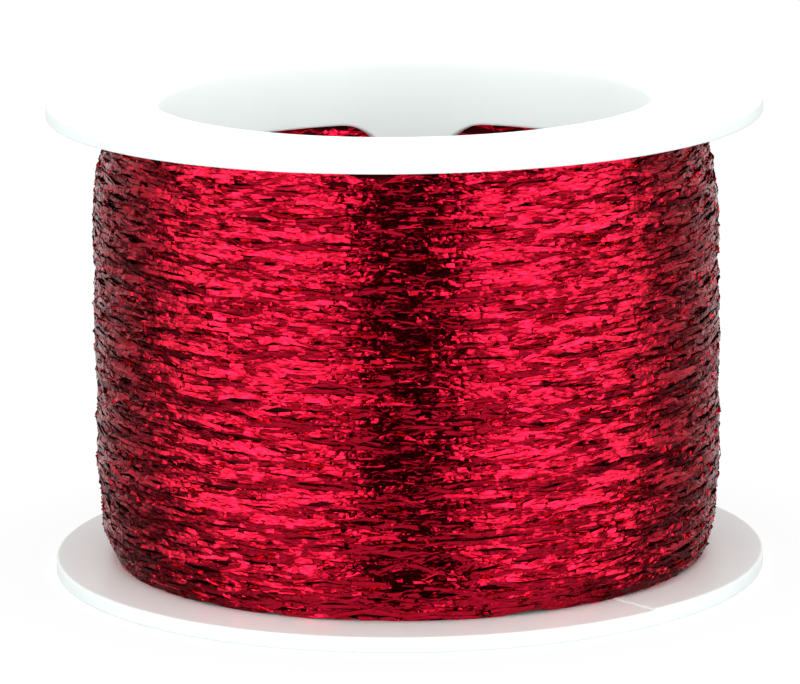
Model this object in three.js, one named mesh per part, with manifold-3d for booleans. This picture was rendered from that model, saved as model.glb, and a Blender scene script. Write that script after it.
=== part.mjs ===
// A wide-bore plastic spool wound full with red metallic film thread.
// Millimetres, +Z up along the spool's axis, the origin at the centre of the lower flange's outer face.
import * as THREE from "three";
import { mergeVertices } from "three/addons/utils/BufferGeometryUtils.js";
import Module from "manifold-3d";

// The spool: two thin flanges on a barrel whose bore is nearly as wide as the winding. Its height is taken over
// the flanges' flat outer faces; a low ring round the bore stands above the upper one.
const SPOOL_HEIGHT = 51.1;
const LIP_RISE = 0.3;
const LIP_RING_RADIUS = 31.2;
const LIP_RING_SLOPE = 1.2;
const FLANGE_RADIUS = 38.1;
const FLANGE_THICKNESS = 1.65;
const RIM_ROUNDING = 0.3;
const BORE_RADIUS = 26.2;
const BORE_LIP_ROUNDING = 1.4;
const WALL_THICKNESS = 1.5;

// The windows in the barrel, which save plastic and show the thread's inner side.
const WINDOW_COUNT = 6;
const WINDOW_WIDTH = 21.4;
const WINDOW_TO_FACE = 7.7;
const WINDOW_CORNER = 5;

// The low ramp moulded on the lower flange's inner face, which ends in a small step.
const RAMP_STEP_ANGLE = THREE.MathUtils.degToRad(-46.3);
const RAMP_SWEEP = THREE.MathUtils.degToRad(24);
const RAMP_STEP_HEIGHT = 0.2;
const RAMP_INNER_RADIUS = 32;

// The winding, full in the middle and drawn in towards both flanges.
const WINDING_GAP = 0.3;
const WINDING_RADIUS = 33.45;
const LOWER_SHOULDER = { drop: 1.7, reach: 2.8 };
const UPPER_SHOULDER = { drop: 2.8, reach: 3.4 };
// The slow unevenness of the wound surface along the axis, as three waves.
const WINDING_WAVES = [
  { height: 0.08, length: 12.3, start: 0.9 },
  { height: 0.05, length: 6.1, start: 2.2 },
  { height: 0.03, length: 3.7, start: 4.0 },
];

// How finely round forms are divided.
const TURN_SEGMENTS = 80;
const WINDING_STEPS = 26;
const LIP_STEPS = 4;
const RIM_STEPS = 2;
const CORNER_STEPS = 6;
const RAMP_STEPS = 10;

const BARREL_RADIUS = BORE_RADIUS + WALL_THICKNESS;
const INNER_FACE_LOW = FLANGE_THICKNESS;
const INNER_FACE_HIGH = SPOOL_HEIGHT - FLANGE_THICKNESS;

const manifold = await Module();
manifold.setup();

const plastic = new THREE.MeshStandardMaterial({ color: 0xf2f4f3, roughness: 0.35, metalness: 0 });
const film = new THREE.MeshStandardMaterial({ color: 0xb8102c, roughness: 0.3, metalness: 0.85 });

// Points on an arc about the centre (radius, height), both ends included.
function arc(radius, height, rounding, fromAngle, toAngle, steps) {
  const points = [];
  for (let step = 0; step <= steps; step += 1) {
    const angle = fromAngle + ((toAngle - fromAngle) * step) / steps;
    points.push(new THREE.Vector2(radius + rounding * Math.cos(angle), height + rounding * Math.sin(angle)));
  }
  return points;
}

// Turns a closed outline of (radius, height) points about the Z axis.
function turned(outline) {
  const geometry = new THREE.LatheGeometry([...outline, outline[0].clone()], TURN_SEGMENTS);
  geometry.rotateX(Math.PI / 2);
  return geometry;
}

// The outline of the whole spool, anticlockwise from the lower end of the bore.
function spoolOutline() {
  const lipRadius = BORE_RADIUS + BORE_LIP_ROUNDING;
  const lipTop = SPOOL_HEIGHT + LIP_RISE - BORE_LIP_ROUNDING;
  const rimRadius = FLANGE_RADIUS - RIM_ROUNDING;
  const quarter = Math.PI / 2;
  return [
    ...arc(lipRadius, BORE_LIP_ROUNDING, BORE_LIP_ROUNDING, 2 * quarter, 3 * quarter, LIP_STEPS),
    ...arc(rimRadius, RIM_ROUNDING, RIM_ROUNDING, -quarter, 0, RIM_STEPS),
    ...arc(rimRadius, INNER_FACE_LOW - RIM_ROUNDING, RIM_ROUNDING, 0, quarter, RIM_STEPS),
    new THREE.Vector2(BARREL_RADIUS, INNER_FACE_LOW),
    new THREE.Vector2(BARREL_RADIUS, INNER_FACE_HIGH),
    ...arc(rimRadius, INNER_FACE_HIGH + RIM_ROUNDING, RIM_ROUNDING, -quarter, 0, RIM_STEPS),
    ...arc(rimRadius, SPOOL_HEIGHT - RIM_ROUNDING, RIM_ROUNDING, 0, quarter, RIM_STEPS),
    new THREE.Vector2(LIP_RING_RADIUS, SPOOL_HEIGHT),
    new THREE.Vector2(LIP_RING_RADIUS - LIP_RING_SLOPE, SPOOL_HEIGHT + LIP_RISE),
    ...arc(lipRadius, lipTop, BORE_LIP_ROUNDING, quarter, 2 * quarter, LIP_STEPS),
  ];
}

// A block with rounded corners that cuts one window straight out through the barrel's wall.
function windowCutter(angle) {
  const halfWidth = WINDOW_WIDTH / 2;
  const halfHeight = SPOOL_HEIGHT / 2 - WINDOW_TO_FACE;
  const straightX = halfWidth - WINDOW_CORNER;
  const straightY = halfHeight - WINDOW_CORNER;
  const quarter = Math.PI / 2;
  const shape = new THREE.Shape();
  shape.absarc(straightX, straightY, WINDOW_CORNER, 0, quarter);
  shape.absarc(-straightX, straightY, WINDOW_CORNER, quarter, 2 * quarter);
  shape.absarc(-straightX, -straightY, WINDOW_CORNER, 2 * quarter, 3 * quarter);
  shape.absarc(straightX, -straightY, WINDOW_CORNER, 3 * quarter, 4 * quarter);
  const depth = 4 * WALL_THICKNESS;
  const geometry = new THREE.ExtrudeGeometry(shape, {
    depth,
    bevelEnabled: false,
    curveSegments: CORNER_STEPS,
  });
  const sideways = new THREE.Vector3(0, 1, 0);
  const upwards = new THREE.Vector3(0, 0, 1);
  const outwards = new THREE.Vector3(1, 0, 0);
  geometry.applyMatrix4(new THREE.Matrix4().makeBasis(sideways, upwards, outwards));
  geometry.translate(BARREL_RADIUS - 0.75 * depth, 0, SPOOL_HEIGHT / 2);
  geometry.rotateZ(angle);
  return geometry;
}

// The low ramp: a sector of the flange's inner face, highest at its step and run out at its other end.
function flangeRamp() {
  const endAngle = RAMP_STEP_ANGLE + RAMP_SWEEP;
  const rootDepth = FLANGE_THICKNESS / 2;
  const outerRadius = FLANGE_RADIUS - RIM_ROUNDING;
  const shape = new THREE.Shape();
  shape.absarc(0, 0, outerRadius, RAMP_STEP_ANGLE, endAngle, false);
  shape.absarc(0, 0, RAMP_INNER_RADIUS, endAngle, RAMP_STEP_ANGLE, true);
  const geometry = new THREE.ExtrudeGeometry(shape, {
    depth: rootDepth,
    bevelEnabled: false,
    curveSegments: RAMP_STEPS,
  });
  const place = geometry.getAttribute("position");
  for (let i = 0; i < place.count; i += 1) {
    if (place.getZ(i) < rootDepth / 2) continue;
    const along = (Math.atan2(place.getY(i), place.getX(i)) - RAMP_STEP_ANGLE) / RAMP_SWEEP;
    place.setZ(i, rootDepth + RAMP_STEP_HEIGHT * (1 - 1.2 * along));
  }
  geometry.translate(0, 0, INNER_FACE_LOW - rootDepth);
  return geometry;
}

// How far out the thread reaches at one height: full, less the two shoulders, with the slow waves on top.
function windingRadiusAt(height) {
  const fromLow = height - (INNER_FACE_LOW + WINDING_GAP);
  const fromHigh = INNER_FACE_HIGH - WINDING_GAP - height;
  const lowDrop = LOWER_SHOULDER.drop * Math.exp(-fromLow / LOWER_SHOULDER.reach);
  const highDrop = UPPER_SHOULDER.drop * Math.exp(-fromHigh / UPPER_SHOULDER.reach);
  let wave = 0;
  for (const { height: swing, length, start } of WINDING_WAVES) {
    wave += swing * Math.sin((2 * Math.PI * height) / length + start);
  }
  return WINDING_RADIUS - lowDrop - highDrop + wave;
}

// The outline of the winding, anticlockwise from its lower inner edge. Its points lie closer at both shoulders.
function windingOutline() {
  const innerRadius = BARREL_RADIUS + WINDING_GAP;
  const middle = SPOOL_HEIGHT / 2;
  const halfHeight = middle - INNER_FACE_LOW - WINDING_GAP;
  const outline = [new THREE.Vector2(innerRadius, middle - halfHeight)];
  for (let step = 0; step <= WINDING_STEPS; step += 1) {
    const height = middle - halfHeight * Math.cos((Math.PI * step) / WINDING_STEPS);
    outline.push(new THREE.Vector2(windingRadiusAt(height), height));
  }
  outline.push(new THREE.Vector2(innerRadius, middle + halfHeight));
  return outline;
}

// A geometry as a solid that can be joined and cut.
function solid(geometry) {
  geometry.deleteAttribute("normal");
  geometry.deleteAttribute("uv");
  const merged = mergeVertices(geometry, 1e-4);
  return new manifold.Manifold(
    new manifold.Mesh({
      numProp: 3,
      vertProperties: new Float32Array(merged.getAttribute("position").array),
      triVerts: new Uint32Array(merged.index.array),
    }),
  );
}

// A joined or cut solid as a geometry again.
function geometryOf(body) {
  const mesh = body.getMesh();
  const geometry = new THREE.BufferGeometry();
  geometry.setAttribute("position", new THREE.BufferAttribute(new Float32Array(mesh.vertProperties), 3));
  geometry.setIndex(new THREE.BufferAttribute(new Uint32Array(mesh.triVerts), 1));
  geometry.computeVertexNormals();
  return geometry;
}

// One moulding: the turned spool with its windows cut and the ramp joined on.
function makeSpool() {
  let body = solid(turned(spoolOutline()));
  for (let index = 0; index < WINDOW_COUNT; index += 1) {
    body = body.subtract(solid(windowCutter((2 * Math.PI * index) / WINDOW_COUNT)));
  }
  body = body.add(solid(flangeRamp()));
  const mesh = new THREE.Mesh(geometryOf(body), plastic);
  mesh.name = "spool";
  return mesh;
}

// The thread, as one ring of its wound form.
function makeWinding() {
  const mesh = new THREE.Mesh(turned(windingOutline()), film);
  mesh.name = "winding";
  return mesh;
}

const part = new THREE.Group();
part.add(makeSpool(), makeWinding());

export default part;
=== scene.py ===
"""A white wide-bore plastic spool wound full with red metallic film thread, dressed on its CAD frame.

The frame's spool and winding are both replaced. The spool becomes a finely turned moulding with rounded
edges, its foot a piece of its own. The winding becomes a core, painted near-black red as the shade deep
between the strips, under three outer layers of film, with one more layer that shows through the windows, and
each layer is one long creased strip. Lengths are millimetres until a mesh is written, which is in metres.
"""
import math
import bmesh
import bpy
import numpy as np
from mathutils import Matrix, Vector


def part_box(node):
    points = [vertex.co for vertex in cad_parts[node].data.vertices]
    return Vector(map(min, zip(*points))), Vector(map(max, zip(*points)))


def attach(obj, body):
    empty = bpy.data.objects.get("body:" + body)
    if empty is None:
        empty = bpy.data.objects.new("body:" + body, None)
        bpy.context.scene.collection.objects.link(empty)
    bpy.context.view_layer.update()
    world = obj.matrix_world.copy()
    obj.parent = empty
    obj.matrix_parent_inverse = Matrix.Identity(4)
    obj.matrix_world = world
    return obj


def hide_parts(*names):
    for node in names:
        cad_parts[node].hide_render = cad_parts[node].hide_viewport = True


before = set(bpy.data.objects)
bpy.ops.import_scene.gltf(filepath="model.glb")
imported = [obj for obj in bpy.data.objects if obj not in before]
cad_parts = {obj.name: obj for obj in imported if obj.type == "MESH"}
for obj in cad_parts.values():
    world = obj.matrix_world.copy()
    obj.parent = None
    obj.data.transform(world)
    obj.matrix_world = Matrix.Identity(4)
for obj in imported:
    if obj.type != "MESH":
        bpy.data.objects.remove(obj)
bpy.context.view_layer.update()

MM = 0.001
BODY = "root"
SEED = 41

# The photo's camera: its lens and sensor, its place round the spool, where it aims, and how near and how far
# it sees, in metres.
CAMERA_AZIMUTH = 2.0
CAMERA_ELEVATION = 12.034
CAMERA_ROLL = -0.708
CAMERA_DISTANCE = 616.3
CAMERA_LENS = 258.66
CAMERA_SENSOR = 36
CAMERA_NEAR, CAMERA_FAR = 0.01, 20
CAMERA_AIM_HEIGHT = 24.7
CAMERA_YAW = -0.001246
CAMERA_PITCH = -0.000727

# The overhead lamp: a disk low enough that the upper flange shades the lower one from it.
OVERHEAD_HEIGHT, OVERHEAD_RADIUS, OVERHEAD_POWER = 130.0, 40.0, 0.045

# The studio light by direction. Over a rise or a band one brightness passes into the next. Rises are sines of
# the elevation, and bands are degrees to either side of the camera's bearing.
SOFTBOX_RISE, SOFTBOX_TOP_RISE = (-0.5, 0.06), (0.26, 0.4)
SOFTBOX_FOOT, SOFTBOX_BODY, SOFTBOX_TOP = 0.12, 1.25, 1.0
LAMP_RISE, LAMP_INNER_BAND, LAMP_OUTER_BAND = (-0.12, 0.24), (20, 34), (74, 88)
LAMP_BRIGHTNESS, LAMP_SIDE_SHARE = 2.6, 0.3
GAP_RISE, GAP_BAND = (0.34, 0.46), (18, 22)
GAP_DARK, GAP_TOP = 0.004, 1.2
REAR_RISE, REAR_BAND = (-0.5, 0.35), (88, 101)
REAR_FOOT, REAR_TOP = 0.015, 0.6
GLOW_RISE, GLOW_BAND = (-0.1, 0.06), (125, 170)
GLOW_LOW, GLOW_ELSEWHERE = 2.5, 0.95
TABLE_RISE, TABLE_BAND = (-0.5, -0.4), (60, 100)
TABLE_FRONT, TABLE_BACK = 0.45, 0.08
HIGH_RISE, HIGH_BAND = (0.4, 0.55), (50, 80)
HIGH_FRONT, HIGH_BACK = 0.9, 0.5
CEILING_RISE, CEILING_BRIGHTNESS = (0.8, 0.9), 2.1

# The floor, which glows a little so that it stays white under the spool.
FLOOR_HALF_WIDTH, FLOOR_DROP = 3000.0, 0.02
FLOOR_GREY, FLOOR_GLOW = 0.15, 0.85

# The spool, from the frame where it can be.
spool_low, spool_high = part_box("spool")
winding_low, winding_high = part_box("winding")
LIP_RISE = 0.3
LIP_RING_RADIUS = 31.2
LIP_RING_SLOPE = 1.2
SPOOL_HEIGHT = (spool_high.z - spool_low.z) / MM - LIP_RISE
FLANGE_RADIUS = (spool_high.x - spool_low.x) / 2 / MM
WINDING_LOW = winding_low.z / MM
WINDING_HIGH = winding_high.z / MM
WINDING_GAP = 0.3
FLANGE_THICKNESS = WINDING_LOW - WINDING_GAP
RIM_ROUNDING = 0.3
BORE_RADIUS = 26.2
BORE_LIP_ROUNDING = 1.4
WALL_THICKNESS = 1.5
BARREL_RADIUS = BORE_RADIUS + WALL_THICKNESS
BARREL_FILLET = 0.4

# The barrel's windows.
WINDOW_COUNT = 6
WINDOW_WIDTH = 21.4
WINDOW_TO_FACE = 7.7
WINDOW_CORNER = 5.0
WINDOW_EDGE_ROUNDING = 0.25
PANEL_TO_FACE = 4.0

# The low ramp on the lower flange's inner face.
RAMP_STEP_ANGLE = math.radians(-46.3)
RAMP_SWEEP = math.radians(24)
RAMP_STEP_HEIGHT = 0.2
RAMP_INNER_RADIUS = 32.0
RAMP_STEP_WIDTH = math.radians(0.04)

# How finely the moulding is divided, and how near to a rounded edge the flat next to it is held.
TURN_COLUMNS = 288
PANEL_ROWS = 60
INNER_FACE_RADII = (28.6, 30.0, 31.7, 32.0, 33.0, 34.2, 35.4, 36.6)
OUTER_FACE_RADII = (36.4, 34.6, 32.8)
RING_MIDDLE_RADIUS = 28.9
BARREL_HEIGHTS = (PANEL_TO_FACE, 3.0)
BORE_HEIGHTS = (2.2, 3.1, PANEL_TO_FACE)
FILLET_STEPS, RIM_STEPS, LIP_STEPS, WINDOW_EDGE_STEPS = 4, 5, 10, 4
WINDOW_CORNER_POINTS = 12
WINDOW_FLAT_SHARES = (0, 0.2, 0.4, 0.6, 0.8, 1)
EDGE_HOLD = 0.12
SEAM_GAP = 0.002
SMOOTH_BELOW = math.radians(32)

# The wound form, the same as the frame's. Each shoulder has a drop and a reach, and each wave has a height,
# a length and a start.
WINDING_RADIUS = 33.45
LOWER_SHOULDER_DROP, LOWER_SHOULDER_REACH = 1.7, 2.8
UPPER_SHOULDER_DROP, UPPER_SHOULDER_REACH = 2.8, 3.4
WINDING_WAVES = ((0.08, 12.3, 0.9), (0.05, 6.1, 2.2), (0.03, 3.7, 4.0))

# The film: its width, and how it lies, leans, crumples and turns over. A run is the shortest and the longest
# wave of a slow random change along the film.
FILM_WIDTH, FILM_PITCH = 0.45, 0.4
WIDTH_SPREAD, WIDTH_RUN = 0.12, (2, 30)
FACET_LENGTH, FACET_SPREAD = 0.68, 0.6
FACET_SHORTEST, FACET_LONGEST = 0.22, 3.0
CREASE_SHORTEST, CREASE_LONGEST = 0.06, 0.18
LIFT_SPREAD = 0.04
LEAN_SPREAD = math.radians(6)
CRUMPLE_SHARE, CRUMPLE_SPREAD = 0.25, math.radians(18)
SLOW_LEAN_SPREAD, SLOW_LEAN_RUN = math.radians(5), (3, 30)
UNREST_SPREAD, UNREST_RUN = 0.6, (4, 40)
LOWER_FOLLOW, UPPER_FOLLOW = 0.6, 0.1
TURN_OVER_SHARE, TURN_OVER_LEAN = 0.06, (0.9, 2.2)
PINCH_HALF_WIDTH = 0.05
SKEW_SPREAD = 0.1
WANDER_SPREAD, WANDER_RUN = 0.16, (12, 110)
KINK_SPREAD, KINK_RUN = 0.05, (1.5, 7)
STRAY_SPREAD, STRAY_RUN = 0.05, (5, 40)
SWELL_SPREAD, SWELL_HEIGHT, SWELL_TURNS = 0.05, (1.6, 7.0), (1, 16)
BUNCH_SPREAD, BUNCH_HEIGHT, BUNCH_TURNS = 0.17, (0.9, 2.4), (8, 30)

# The layers of film, and the core under them, painted dark as the shade deep between the strips.
OUTER_LAYERS, FIRST_LAYER_DEPTH, LAYER_DEPTH = 3, 0.1, 0.14
HEIGHT_SAMPLES = 50
FACE_CLEARANCE = 0.03
INNER_RADIUS = BARREL_RADIUS + WINDING_GAP
INSIDE_FILM_RADIUS = INNER_RADIUS + 0.3
INSIDE_FILM_OVERLAP = 1.5
INSIDE_PITCH = FILM_PITCH * 1.1
CORE_DEPTH = 0.7
CORE_INNER_RADIUS = INNER_RADIUS + 0.35
CORE_ROWS, CORE_COLUMNS = 60, 180
CORE_STREAK_SQUEEZE = 14

# The small domed flakes of the film's surface: their length, their width in strips, and each dome's height.
FLAKE_LENGTH, FLAKE_WIDTH = 0.75, 0.9
FLAKE_HEIGHT = 0.045
FILM_MAP = "film"

# The colours, each passing from one tone into another over the middle of a random pattern.
PLASTIC_TONES = ((0.3, (0.865, 0.945, 0.925)), (0.7, (0.89, 0.97, 0.95)))
FILM_TONES = ((0.3, (0.74, 0.001, 0.024)), (0.7, (0.98, 0.005, 0.052)))
# The core's colours are painted shade: a near-black red for the shade deep between the strips.
CORE_SHADE_TONES = ((0.35, (0.03, 0.0004, 0.002)), (0.7, (0.12, 0.001, 0.006)))
# How much of the film's colour is left across half the strip's width, from its middle to its edge.
EDGE_SHADE = ((0.33, (1, 1, 1)), (0.5, (0.35, 0.35, 0.35)))


def write_mesh(name, points, faces, material, smooth_angle=None, film_places=None):
    """A mesh object from an array of points in millimetres and an array of equal-sided faces.

    film_places, where it is given, holds each point's place along and across the strip of film."""
    corners = faces.shape[1]
    mesh = bpy.data.meshes.new(name)
    mesh.vertices.add(len(points))
    mesh.vertices.foreach_set("co", (points * MM).astype(np.float32).ravel())
    mesh.loops.add(faces.size)
    mesh.loops.foreach_set("vertex_index", faces.astype(np.int32).ravel())
    mesh.polygons.add(len(faces))
    mesh.polygons.foreach_set("loop_start", np.arange(0, faces.size, corners, dtype=np.int32))
    mesh.update(calc_edges=True)
    mesh.materials.append(material)
    if film_places is not None:
        film_map = mesh.uv_layers.new(name=FILM_MAP)
        film_map.uv.foreach_set("vector", film_places[faces].astype(np.float32).ravel())
    piece = bpy.data.objects.new(name, mesh)
    bpy.context.scene.collection.objects.link(piece)
    if smooth_angle is not None:
        close_seams(mesh)
        mesh.shade_smooth()
        mesh.set_sharp_from_angle(angle=smooth_angle)
    return piece


def close_seams(mesh):
    """Welds points that coincide and turns every face outwards."""
    work = bmesh.new()
    work.from_mesh(mesh)
    bmesh.ops.remove_doubles(work, verts=work.verts, dist=SEAM_GAP * MM)
    bmesh.ops.recalc_face_normals(work, faces=work.faces)
    work.to_mesh(mesh)
    work.free()


def polar(radius, angle, height):
    """Points from radius, angle and height arrays."""
    radius, angle, height = np.broadcast_arrays(radius, angle, height)
    return np.stack([radius * np.cos(angle), radius * np.sin(angle), height], axis=-1)


def grid_faces(rows, columns, closed):
    """Quads between neighbouring rows and columns of a grid of points, the last column meeting the first."""
    row = np.arange(rows - 1)[:, None]
    column = np.arange(columns if closed else columns - 1)[None, :]
    after = (column + 1) % columns
    corners = (row * columns + column, row * columns + after,
               (row + 1) * columns + after, (row + 1) * columns + column)
    return np.stack(np.broadcast_arrays(*corners), axis=-1).reshape(-1, 4)


def arc(radius, height, rounding, start, end, steps):
    """Points of an arc in a turned outline, angles in quarter turns."""
    angle = np.linspace(start, end, steps + 1) * math.pi / 2
    return [(radius + rounding * math.cos(a), height + rounding * math.sin(a)) for a in angle]


def column_angles():
    """The angles of the moulding's columns, with two of them moved to either side of the ramp's step."""
    angles = np.arange(TURN_COLUMNS) * 2 * math.pi / TURN_COLUMNS
    step = RAMP_STEP_ANGLE % (2 * math.pi)
    nearest = int(round(step / (2 * math.pi) * TURN_COLUMNS))
    angles[nearest] = step + RAMP_STEP_WIDTH / 2
    angles[nearest - 1] = step - RAMP_STEP_WIDTH / 2
    return angles


def end_outline(lip_rise):
    """One end of the spool from the panel's outer surface, round the flange, to the panel's inner surface."""
    rim = FLANGE_RADIUS - RIM_ROUNDING
    lip = BORE_RADIUS + BORE_LIP_ROUNDING
    ring = LIP_RING_RADIUS - LIP_RING_SLOPE
    inner_face = [(radius, FLANGE_THICKNESS) for radius in (*INNER_FACE_RADII, rim - EDGE_HOLD)]
    outer_face = [(radius, 0.0) for radius in (rim - EDGE_HOLD, *OUTER_FACE_RADII, LIP_RING_RADIUS)]
    ring_radii = (ring, ring - EDGE_HOLD, RING_MIDDLE_RADIUS, lip + EDGE_HOLD)
    ring_face = [(radius, -lip_rise) for radius in ring_radii]
    barrel = [(BARREL_RADIUS, height) for height in BARREL_HEIGHTS]
    bore = [(BORE_RADIUS, height) for height in BORE_HEIGHTS]
    fillet_radius, fillet_height = BARREL_RADIUS + BARREL_FILLET, FLANGE_THICKNESS + BARREL_FILLET
    return np.array(
        barrel + arc(fillet_radius, fillet_height, BARREL_FILLET, 2, 3, FILLET_STEPS) + inner_face
        + arc(rim, FLANGE_THICKNESS - RIM_ROUNDING, RIM_ROUNDING, 1, 0, RIM_STEPS)
        + arc(rim, RIM_ROUNDING, RIM_ROUNDING, 0, -1, RIM_STEPS) + outer_face + ring_face
        + arc(lip, BORE_LIP_ROUNDING - lip_rise, BORE_LIP_ROUNDING, 3, 2, LIP_STEPS) + bore)


def ramp_height(radius, angle):
    """How far the ramp lifts the lower flange's inner face at a place."""
    along = ((angle - RAMP_STEP_ANGLE) % (2 * math.pi)) / RAMP_SWEEP
    return np.where((along <= 1) & (radius >= RAMP_INNER_RADIUS), RAMP_STEP_HEIGHT * (1 - along), 0.0)


def spool_end(top):
    """The turned end of the spool, with the ramp on the lower one."""
    outline = end_outline(LIP_RISE if top else 0.0)
    angle = column_angles()[None, :]
    radius = outline[:, :1] + 0 * angle
    height = outline[:, 1:] + 0 * angle
    if top:
        height = SPOOL_HEIGHT - height
    else:
        on_face = outline[:, 1:] > FLANGE_THICKNESS / 2
        height = height + np.where(on_face, ramp_height(radius, angle), 0.0)
    points = polar(radius, angle, height).reshape(-1, 3)
    return points, grid_faces(len(outline), TURN_COLUMNS, True)


def along_path(path, count):
    """count points at equal steps along a path, its first point included and its last left out."""
    path = np.array(path)
    travelled = np.concatenate([[0], np.cumsum(np.hypot(*np.diff(path, axis=0).T))])
    at = np.linspace(0, travelled[-1], count, endpoint=False)
    return np.stack([np.interp(at, travelled, path[:, i]) for i in range(2)], axis=-1)


def window_loop(grown, columns):
    """A window's outline, in sideways and upward distances from its middle, grown outwards by a distance.

    It starts at the middle of its lower left corner and runs anticlockwise, with as many points on each side
    as the panel round it has."""
    corner = WINDOW_CORNER + grown
    x = WINDOW_WIDTH / 2 - WINDOW_CORNER
    y = SPOOL_HEIGHT / 2 - WINDOW_TO_FACE - WINDOW_CORNER

    def half_corner(cx, cy, start):
        """Half of a round corner, from an angle in quarter turns."""
        turn = np.linspace(start, start + 0.5, WINDOW_CORNER_POINTS) * math.pi / 2
        return [(cx + corner * math.cos(a), cy + corner * math.sin(a)) for a in turn]

    bottom = half_corner(-x, -y, 2.5) + half_corner(x, -y, 3.0)
    right = half_corner(x, -y, 3.5) + half_corner(x, y, 0.0)
    top = half_corner(x, y, 0.5) + half_corner(-x, y, 1.0)
    left = half_corner(-x, y, 1.5) + half_corner(-x, -y, 2.0)
    sides = zip((bottom, right, top, left), (columns, PANEL_ROWS, columns, PANEL_ROWS))
    return np.concatenate([along_path(side, count) for side, count in sides])


def panel_border(across):
    """A panel's outline, in angles and upward distances from its middle, from its lower left corner on."""
    columns = len(across) - 1
    half = SPOOL_HEIGHT / 2 - PANEL_TO_FACE
    upright = np.linspace(-half, half, PANEL_ROWS + 1)
    return np.concatenate([
        np.stack([across[:-1], np.full(columns, -half)], axis=-1),
        np.stack([np.full(PANEL_ROWS, across[-1]), upright[:-1]], axis=-1),
        np.stack([across[:0:-1], np.full(columns, half)], axis=-1),
        np.stack([np.full(PANEL_ROWS, across[0]), upright[:0:-1]], axis=-1)])


def panel(index):
    """One sixth of the barrel between its ends, with its window and the window's rounded edges."""
    columns = TURN_COLUMNS // WINDOW_COUNT
    middle = index * 2 * math.pi / WINDOW_COUNT
    picked = np.arange(index * columns - columns // 2, index * columns + columns // 2 + 1)
    across = column_angles()[picked % TURN_COLUMNS] - middle
    border = panel_border((across + math.pi) % (2 * math.pi) - math.pi)
    edge = WINDOW_EDGE_ROUNDING

    def loop_ring(grown, radius):
        loop = window_loop(grown, columns)
        return np.stack([np.arcsin(loop[:, 0] / radius), loop[:, 1]], axis=-1), radius

    def flat_rings(radius):
        near = loop_ring(edge + EDGE_HOLD, radius)[0]
        flat = [(border + (near - border) * share, radius) for share in WINDOW_FLAT_SHARES]
        return flat + [loop_ring(edge, radius)]

    def edge_ring(turn, radius, outwards):
        return loop_ring(edge * (1 - math.sin(turn)), radius + outwards * edge * (1 - math.cos(turn)))

    quarter = np.linspace(0, math.pi / 2, WINDOW_EDGE_STEPS + 1)[1:]
    into = [edge_ring(turn, BORE_RADIUS, 1) for turn in quarter]
    out = [edge_ring(turn, BARREL_RADIUS, -1) for turn in quarter[::-1]]
    rings = flat_rings(BORE_RADIUS) + into + out + flat_rings(BARREL_RADIUS)[::-1]
    points = np.concatenate([
        polar(radius, middle + ring[:, 0], SPOOL_HEIGHT / 2 + ring[:, 1]) for ring, radius in rings])
    return points, grid_faces(len(rings), len(border), True)


def joined(parts):
    """Several arrays of points and faces as one."""
    points, faces, count = [], [], 0
    for part_points, part_faces in parts:
        points.append(part_points)
        faces.append(part_faces + count)
        count += len(part_points)
    return np.concatenate(points), np.concatenate(faces)


def make_spool(material):
    """The moulding, its foot apart from the rest: the foot is kept out of the film's reflections, because the
    strips next to it shade it from one another."""
    rest = [spool_end(True)] + [panel(i) for i in range(WINDOW_COUNT)]
    body = write_mesh("spool_body", *joined(rest), material, SMOOTH_BELOW)
    foot = write_mesh("spool_foot", *spool_end(False), material, SMOOTH_BELOW)
    foot.visible_glossy = False
    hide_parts("spool")
    return [body, foot]


def winding_radius(height):
    """How far out the wound surface is at a height."""
    low_drop = LOWER_SHOULDER_DROP * np.exp(-(height - WINDING_LOW) / LOWER_SHOULDER_REACH)
    high_drop = UPPER_SHOULDER_DROP * np.exp(-(WINDING_HIGH - height) / UPPER_SHOULDER_REACH)
    waves = sum(
        swing * np.sin(2 * math.pi * height / length + start) for swing, length, start in WINDING_WAVES)
    return WINDING_RADIUS - low_drop - high_drop + waves


def inside_radius(height):
    """How far out the layer lies that shows through the windows, the same at every height."""
    return np.full_like(height, INSIDE_FILM_RADIUS)


class Ripples:
    """A smooth random pattern over the wound surface, long round the winding and short along its height."""

    def __init__(self, rng, spread, heights, turns, count=36):
        self.around = rng.integers(*turns, count)
        self.upward = 2 * math.pi / rng.uniform(*heights, count) * rng.choice([-1, 1], count)
        self.start = rng.uniform(0, 2 * math.pi, count)
        self.swing = spread * math.sqrt(2 / count)

    def at(self, angle, height):
        total = np.zeros_like(angle)
        for around, upward, start in zip(self.around, self.upward, self.start):
            total += np.cos(around * angle + upward * height + start)
        return self.swing * total


def wander(rng, along, spread, run, count=9):
    """A smooth random line along the film's length, made of waves as long as the run allows."""
    total = np.zeros_like(along)
    for _ in range(count):
        length = rng.uniform(*run)
        total += np.sin(2 * math.pi * along / length + rng.uniform(0, 2 * math.pi))
    return spread * math.sqrt(2 / count) * total


def film_facets(rng, length):
    """Where each facet of a strip starts and ends, and whether the strip is pinched at the facet's end."""
    count = int(length / FACET_LENGTH)
    facet = np.clip(rng.lognormal(math.log(FACET_LENGTH), FACET_SPREAD, count), FACET_SHORTEST, FACET_LONGEST)
    pinched = rng.random(count) < TURN_OVER_SHARE
    facet = np.where(pinched, FACET_SHORTEST, facet)
    crease = rng.uniform(CREASE_SHORTEST, CREASE_LONGEST, count)
    start = np.concatenate([[0], np.cumsum(facet + crease)[:-1]])
    count = int(np.searchsorted(start, length - FACET_LONGEST))
    facet, start, pinched = facet[:count], start[:count], pinched[:count]
    return np.stack([start, start + facet], axis=1), pinched


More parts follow.
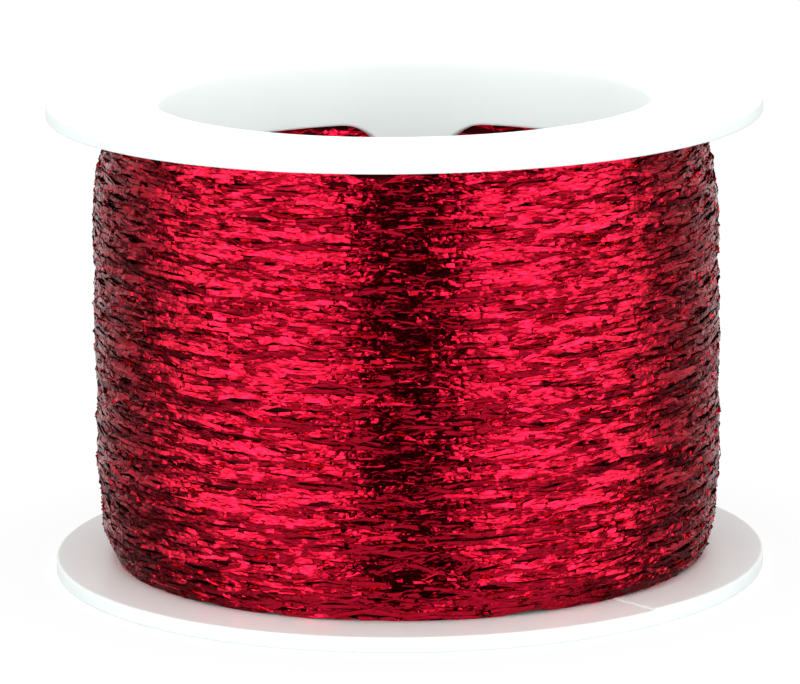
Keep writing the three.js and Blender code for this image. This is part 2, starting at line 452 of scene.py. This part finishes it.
def film_shape(rng, along, pinched):
    """How the facets lean, lift, narrow and are skewed, each at its start and at its end."""
    count = len(along)
    crumpled = rng.random(count) < CRUMPLE_SHARE
    unrest = np.exp(wander(rng, along[:, 0], UNREST_SPREAD, UNREST_RUN))
    lean = rng.normal(0, 1, count) * np.where(crumpled, CRUMPLE_SPREAD, LEAN_SPREAD) * unrest
    lean = lean[:, None] + wander(rng, along, SLOW_LEAN_SPREAD, SLOW_LEAN_RUN)
    join = rng.normal(0, LIFT_SPREAD, count + 1)
    lift = np.stack([join[:-1], join[1:]], axis=1) + wander(rng, along, STRAY_SPREAD, STRAY_RUN)
    half = FILM_WIDTH / 2 * (1 + wander(rng, along, WIDTH_SPREAD, WIDTH_RUN))
    lean[:, 1] = np.where(pinched, rng.uniform(*TURN_OVER_LEAN, count), lean[:, 1])
    half[:, 1] = np.where(pinched, PINCH_HALF_WIDTH, half[:, 1])
    skew = rng.normal(0, SKEW_SPREAD, (count, 2))
    return lean, lift, half, skew


def film_layer(rng, swell, bunch, radius_at, depth, low, high, pitch, upwards):
    """One layer of film: a single long strip, wound level from one end to the other.

    The strip is a row of small flat facets with creases between them. Each facet leans and lifts its own way,
    some of them strongly, which makes the film glitter. Here and there the strip is pinched where it turns
    over. Returned are the points, the faces, and each point's place along and across the strip."""
    turn = 2 * math.pi * (float(np.max(radius_at(np.linspace(low, high, HEIGHT_SAMPLES)))) - depth)
    length = turn * (high - low) / pitch
    along, pinched = film_facets(rng, length)
    lean, lift, half, skew = film_shape(rng, along, pinched)
    climb = along / length * (high - low)
    middle = low + climb if upwards else high - climb
    middle = middle + bunch.at(along / turn * 2 * math.pi, middle)
    middle = middle + wander(rng, along, WANDER_SPREAD, WANDER_RUN)
    middle = middle + wander(rng, along, KINK_SPREAD, KINK_RUN)
    # How far the strip's two edges follow the wound form's slope, so that it lies flat on the lower shoulder.
    follow = np.where(middle < SPOOL_HEIGHT / 2, LOWER_FOLLOW, UPPER_FOLLOW)
    ends, places = [], []
    for side in (1, -1):
        edge_height = np.clip(middle + side * half * np.cos(lean), low, high)
        edge_angle = (along + side * skew) / turn * 2 * math.pi
        edge_radius = radius_at(middle + follow * (edge_height - middle)) + swell.at(edge_angle, edge_height)
        edge_radius = edge_radius + (lift - depth) + side * half * np.sin(lean)
        ends.append(polar(edge_radius, edge_angle, edge_height))
        places.append(np.stack([along + side * skew, np.full_like(along, side / 2)], axis=-1))
    points, places = (np.stack(sides, axis=2).reshape(2 * along.size, -1) for sides in (ends, places))
    station = np.arange(along.size - 1)[:, None] * 2
    return points, station + np.array([[0, 1, 3, 2]]), places


def make_core(material):
    """The inside of the winding, a closed ring under the film, dark as painted shade for the gaps between
    strips.
    """
    height = np.linspace(WINDING_LOW, WINDING_HIGH, CORE_ROWS)
    outer = np.stack([winding_radius(height) - CORE_DEPTH, height], axis=-1)
    inner = np.stack([np.full(2, CORE_INNER_RADIUS), height[[-1, 0]]], axis=-1)
    outline = np.concatenate([outer, inner, outer[:1]])
    angle = np.arange(CORE_COLUMNS)[None, :] * 2 * math.pi / CORE_COLUMNS
    points = polar(outline[:, :1], angle, outline[:, 1:]).reshape(-1, 3)
    faces = grid_faces(len(outline), CORE_COLUMNS, True)
    piece = write_mesh("winding_core", points, faces, material, SMOOTH_BELOW)
    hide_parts("winding")
    return piece


def make_film(material):
    """The outer layers, each a little deeper than the last, and the layer that shows through the windows."""
    rng = np.random.default_rng(SEED)
    swell = Ripples(rng, SWELL_SPREAD, SWELL_HEIGHT, SWELL_TURNS)
    bunch = Ripples(rng, BUNCH_SPREAD, BUNCH_HEIGHT, BUNCH_TURNS)
    low, high = FLANGE_THICKNESS + FACE_CLEARANCE, SPOOL_HEIGHT - FLANGE_THICKNESS - FACE_CLEARANCE
    pieces = []
    for layer in range(OUTER_LAYERS):
        depth = LAYER_DEPTH * layer + FIRST_LAYER_DEPTH
        points, faces, places = film_layer(
            rng, swell, bunch, winding_radius, depth, low, high, FILM_PITCH, layer % 2 == 0)
        pieces.append(write_mesh(f"film_layer_{layer + 1}", points, faces, material, film_places=places))
    low = WINDOW_TO_FACE - INSIDE_FILM_OVERLAP
    points, faces, places = film_layer(
        rng, swell, bunch, inside_radius, 0.0, low, SPOOL_HEIGHT - low, INSIDE_PITCH, True)
    pieces.append(write_mesh("film_inside", points, faces, material, film_places=places))
    return pieces


def set_inputs(node, values):
    """Sets a node's sockets by their names."""
    for name, value in values.items():
        node.inputs[name].default_value = value


def new_material(name, values):
    """A material and its shader, with the shader's sockets set by their names."""
    material = bpy.data.materials.new(name)
    material.use_nodes = True
    shader = material.node_tree.nodes["Principled BSDF"]
    set_inputs(shader, values)
    return material, shader


def object_place(tree):
    """The place on the object, in metres."""
    return tree.nodes.new("ShaderNodeTexCoord").outputs["Object"]


def stretched(tree, place, scale):
    """A place with its three distances scaled apart."""
    mapping = tree.nodes.new("ShaderNodeMapping")
    mapping.inputs["Scale"].default_value = scale
    tree.links.new(place, mapping.inputs["Vector"])
    return mapping.outputs["Vector"]


def noise(tree, place, scale, detail=2):
    """A cloudy random pattern."""
    pattern = tree.nodes.new("ShaderNodeTexNoise")
    set_inputs(pattern, {"Scale": scale, "Detail": detail})
    tree.links.new(place, pattern.inputs["Vector"])
    return pattern.outputs["Fac"]


def tones(tree, value, stops):
    """A colour that passes from the first stop's tone to the second's."""
    ramp = tree.nodes.new("ShaderNodeValToRGB")
    for element, (position, colour) in zip(ramp.color_ramp.elements, stops):
        element.position = position
        element.color = (*colour, 1)
    tree.links.new(value, ramp.inputs["Fac"])
    return ramp.outputs["Color"]


def roughen(tree, value, shader, smoothest, roughest):
    """Lets a random pattern vary the shader's roughness."""
    gloss = tree.nodes.new("ShaderNodeMapRange")
    set_inputs(gloss, {"To Min": smoothest, "To Max": roughest})
    tree.links.new(value, gloss.inputs["Value"])
    tree.links.new(gloss.outputs["Result"], shader.inputs["Roughness"])


def add_bump(tree, pattern, shader, strength, distance, sockets=("Normal",), sunk=False):
    """Raises or sinks the shader's surface by a pattern, as far as a distance in metres."""
    bump = tree.nodes.new("ShaderNodeBump")
    bump.invert = sunk
    set_inputs(bump, {"Strength": strength, "Distance": distance})
    tree.links.new(pattern, bump.inputs["Height"])
    for socket in sockets:
        tree.links.new(bump.outputs["Normal"], shader.inputs[socket])


def plastic_material():
    """White moulded plastic, with faint cloudiness and a fine moulded grain."""
    material, shader = new_material("spool_plastic", {
        "IOR": 1.49,
        "Subsurface Weight": 0.12,
        "Subsurface Radius": (1.0, 0.9, 0.85),
        "Subsurface Scale": 1.2 * MM,
    })
    tree = material.node_tree
    place = object_place(tree)
    cloud = noise(tree, place, scale=90, detail=4)
    grain = noise(tree, place, scale=1400)
    tree.links.new(tones(tree, cloud, PLASTIC_TONES), shader.inputs["Base Color"])
    roughen(tree, cloud, shader, smoothest=0.26, roughest=0.40)
    add_bump(tree, grain, shader, strength=0.08, distance=0.1 * MM)
    return material


def film_material():
    """Red lacquered metallised film: a metal under a clear coat, a little uneven in colour and gloss."""
    material, shader = new_material("metallic_film", {
        "Metallic": 1.0,
        "Coat Weight": 1.0,
        "Coat Roughness": 0.12,
        "Coat IOR": 1.17,
    })
    tree = material.node_tree
    patch = noise(tree, object_place(tree), scale=1100)
    roughen(tree, patch, shader, smoothest=0.10, roughest=0.22)
    film_map = tree.nodes.new("ShaderNodeUVMap")
    film_map.uv_map = FILM_MAP
    on_film = film_map.outputs["UV"]
    add_bump(
        tree, flake_hollows(tree, on_film), shader, strength=1.0, distance=FLAKE_HEIGHT * MM,
        sockets=("Normal", "Coat Normal"), sunk=True)
    shaded = tree.nodes.new("ShaderNodeMix")
    shaded.data_type = "RGBA"
    shaded.blend_type = "MULTIPLY"
    shaded.inputs["Factor"].default_value = 1.0
    tree.links.new(tones(tree, patch, FILM_TONES), shaded.inputs["A"])
    tree.links.new(edge_shade(tree, on_film), shaded.inputs["B"])
    tree.links.new(shaded.outputs["Result"], shader.inputs["Base Color"])
    return material


def edge_shade(tree, on_film):
    """White over most of the strip's width, and darker along its edges, where other strips shade it."""
    split = tree.nodes.new("ShaderNodeSeparateXYZ")
    tree.links.new(on_film, split.inputs[0])
    off_middle = node_math(tree, "ABSOLUTE", split.outputs["Y"])
    return tones(tree, off_middle, EDGE_SHADE)


def flake_hollows(tree, on_film):
    """Many small flakes along the film, each deepening from its middle as a round dome falls."""
    pattern = tree.nodes.new("ShaderNodeTexVoronoi")
    pattern.voronoi_dimensions = "2D"
    pattern.inputs["Scale"].default_value = 1
    in_flakes = stretched(tree, on_film, (1 / FLAKE_LENGTH, 1 / FLAKE_WIDTH, 1))
    tree.links.new(in_flakes, pattern.inputs["Vector"])
    off_middle = pattern.outputs["Distance"]
    return node_math(tree, "MULTIPLY", off_middle, off_middle)


def core_material():
    """Painted shade for the thread deep between the strips of film: dark red with level streaks."""
    material, shader = new_material("thread_core", {"Metallic": 0.6, "Specular IOR Level": 0.1})
    tree = material.node_tree
    squeezed = stretched(tree, object_place(tree), (1, 1, CORE_STREAK_SQUEEZE))
    streak = noise(tree, squeezed, scale=160)
    tree.links.new(tones(tree, streak, CORE_SHADE_TONES), shader.inputs["Base Color"])
    roughen(tree, streak, shader, smoothest=0.35, roughest=0.6)
    add_bump(tree, streak, shader, strength=0.5, distance=0.1 * MM)
    return material


def make_floor():
    """A plain pale floor, lit a little from below as a photographer's table is."""
    corners = np.array([(x, y, -FLOOR_DROP) for x, y in ((-1, -1), (1, -1), (1, 1), (-1, 1))])
    corners[:, :2] *= FLOOR_HALF_WIDTH
    material, _ = new_material("floor", {
        "Base Color": (FLOOR_GREY, FLOOR_GREY, FLOOR_GREY, 1),
        "Roughness": 0.9,
        "Specular IOR Level": 0.0,
        "Emission Color": (1, 1, 1, 1),
        "Emission Strength": FLOOR_GLOW,
    })
    floor = write_mesh("floor", corners, np.array([[0, 1, 2, 3]]), material)
    floor.visible_glossy = False


def node_math(tree, operation, *values):
    """A math node whose inputs are numbers or other nodes' outputs."""
    node = tree.nodes.new("ShaderNodeMath")
    node.operation = operation
    for socket, value in zip(node.inputs, values):
        if isinstance(value, (int, float)):
            socket.default_value = value
        else:
            tree.links.new(value, socket)
    return node.outputs[0]


def blend(tree, value, band, before, after):
    """before where value is below the band, after where it is above it, and a soft passage over the band."""
    share = tree.nodes.new("ShaderNodeMapRange")
    share.interpolation_type = "SMOOTHSTEP"
    set_inputs(share, {"From Min": band[0], "From Max": band[1]})
    tree.links.new(value, share.inputs["Value"])
    step = node_math(tree, "SUBTRACT", after, before)
    return node_math(tree, "MULTIPLY_ADD", share.outputs["Result"], step, before)


def studio_brightness(tree, height, aside):
    """How bright the studio is in a direction: a pale table below, two broad softboxes at the sides with a
    lamp in each, a dim rear with a glow low down behind the spool, a bright ceiling, and a dark gap between
    the softboxes where the camera stands."""
    lamp = blend(tree, height, LAMP_RISE, 0.0, LAMP_BRIGHTNESS)
    lamp = node_math(tree, "MULTIPLY", lamp, blend(tree, aside, LAMP_INNER_BAND, LAMP_SIDE_SHARE, 1.0))
    lamp = node_math(tree, "MULTIPLY", lamp, blend(tree, aside, LAMP_OUTER_BAND, 1.0, LAMP_SIDE_SHARE))
    softbox = blend(tree, height, SOFTBOX_RISE, SOFTBOX_FOOT, SOFTBOX_BODY)
    softbox = blend(tree, height, SOFTBOX_TOP_RISE, node_math(tree, "ADD", softbox, lamp), SOFTBOX_TOP)
    glow = blend(tree, height, GLOW_RISE, GLOW_LOW, GLOW_ELSEWHERE)
    glow = blend(tree, aside, GLOW_BAND, GLOW_ELSEWHERE, glow)
    rear = node_math(tree, "MULTIPLY", blend(tree, height, REAR_RISE, REAR_FOOT, REAR_TOP), glow)
    gap = blend(tree, height, GAP_RISE, GAP_DARK, GAP_TOP)
    around = blend(tree, aside, REAR_BAND, blend(tree, aside, GAP_BAND, gap, softbox), rear)
    table = blend(tree, aside, TABLE_BAND, TABLE_FRONT, TABLE_BACK)
    high = blend(tree, aside, HIGH_BAND, HIGH_FRONT, HIGH_BACK)
    brightness = blend(tree, height, TABLE_RISE, table, around)
    brightness = blend(tree, height, HIGH_RISE, brightness, high)
    return blend(tree, height, CEILING_RISE, brightness, CEILING_BRIGHTNESS)


def make_studio():
    """The soft light all round, by the height of a direction and by how far it lies to the camera's side."""
    world = bpy.data.worlds.new("studio")
    bpy.context.scene.world = world
    world.use_nodes = True
    tree = world.node_tree
    split = tree.nodes.new("ShaderNodeSeparateXYZ")
    tree.links.new(tree.nodes.new("ShaderNodeTexCoord").outputs["Generated"], split.inputs[0])
    x, y, height = split.outputs
    bearing = node_math(tree, "ARCTAN2", x, node_math(tree, "MULTIPLY", y, -1.0))
    off_camera = node_math(tree, "SUBTRACT", bearing, math.radians(CAMERA_AZIMUTH))
    turned = node_math(tree, "MULTIPLY", off_camera, math.degrees(1))
    aside = node_math(tree, "ABSOLUTE", turned)
    background = tree.nodes["Background"]
    background.inputs["Color"].default_value = (1.0, 1.0, 1.0, 1)
    tree.links.new(studio_brightness(tree, height, aside), background.inputs["Strength"])


def make_overhead_lamp():
    """The disk lamp over the spool, which whitens its upper face."""
    light = bpy.data.lights.new("overhead", "AREA")
    light.shape = "DISK"
    light.size = 2 * OVERHEAD_RADIUS * MM
    light.energy = OVERHEAD_POWER
    lamp = bpy.data.objects.new("overhead", light)
    lamp.location = (0, 0, OVERHEAD_HEIGHT * MM)
    lamp.visible_glossy = False
    lamp.visible_camera = False
    bpy.context.scene.collection.objects.link(lamp)


def make_camera():
    """The photo's camera, fitted to the outlines of the spool."""
    azimuth, elevation = math.radians(CAMERA_AZIMUTH), math.radians(CAMERA_ELEVATION)
    back = Vector((math.sin(azimuth) * math.cos(elevation), -math.cos(azimuth) * math.cos(elevation),
                   math.sin(elevation)))
    right = Vector((math.cos(azimuth), math.sin(azimuth), 0))
    up = back.cross(right)
    forward = (-back + right * CAMERA_YAW + up * CAMERA_PITCH).normalized()
    right = forward.cross(Vector((0, 0, 1))).normalized()
    up = right.cross(forward)
    roll = math.radians(CAMERA_ROLL)
    rolled_right = right * math.cos(roll) + up * math.sin(roll)
    rolled_up = -right * math.sin(roll) + up * math.cos(roll)
    place = (Vector((0, 0, CAMERA_AIM_HEIGHT)) + back * CAMERA_DISTANCE) * MM
    camera = bpy.data.objects.new("camera", bpy.data.cameras.new("camera"))
    camera.matrix_world = Matrix((
        (rolled_right.x, rolled_up.x, -forward.x, place.x),
        (rolled_right.y, rolled_up.y, -forward.y, place.y),
        (rolled_right.z, rolled_up.z, -forward.z, place.z),
        (0, 0, 0, 1)))
    camera.data.sensor_width = CAMERA_SENSOR
    camera.data.lens = CAMERA_LENS
    camera.data.clip_start = CAMERA_NEAR
    camera.data.clip_end = CAMERA_FAR
    bpy.context.scene.collection.objects.link(camera)
    bpy.context.scene.camera = camera


make_camera()
pieces = make_spool(plastic_material()) + [make_core(core_material())] + make_film(film_material())
for piece in pieces:
    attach(piece, BODY)
make_floor()
make_studio()
make_overhead_lamp()
bpy.context.scene.view_settings.view_transform = "Standard"
